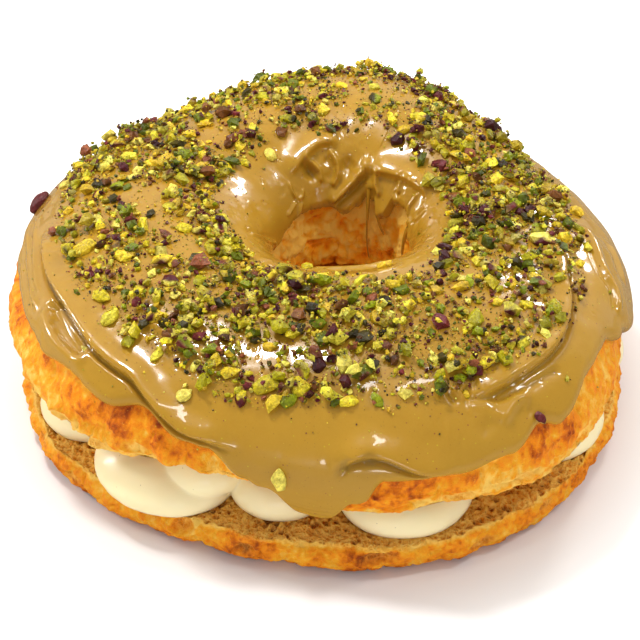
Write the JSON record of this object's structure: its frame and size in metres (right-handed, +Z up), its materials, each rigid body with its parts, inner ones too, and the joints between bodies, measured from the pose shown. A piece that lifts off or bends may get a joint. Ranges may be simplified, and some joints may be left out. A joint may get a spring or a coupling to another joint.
{
  "type": "king cake",
  "caption": "Ring-shaped king cake of sweet bread, split and filled with piped cream, with glossy pistachio icing flowing over the top half under chopped nuts.",
  "frame": {"origin": "on the surface that the cake stands on, under the middle of its bounding box", "axes": "+Z up; -Y is the side with the long drip of icing; +X is to the right seen from there"},
  "size_m": [0.292, 0.3005, 0.0999],
  "materials": {
    "lower_bread": "baked crust with a porous cut face",
    "cream": "smooth satin cream",
    "upper_bread": "golden baked crust",
    "icing": "glossy pistachio icing with chopped nuts"
  },
  "bodies": {
    "root": {"bottom_half": "lower_bread", "cream_filling": "cream", "top_half": "upper_bread", "icing": "icing"}
  },
  "joints": []
}
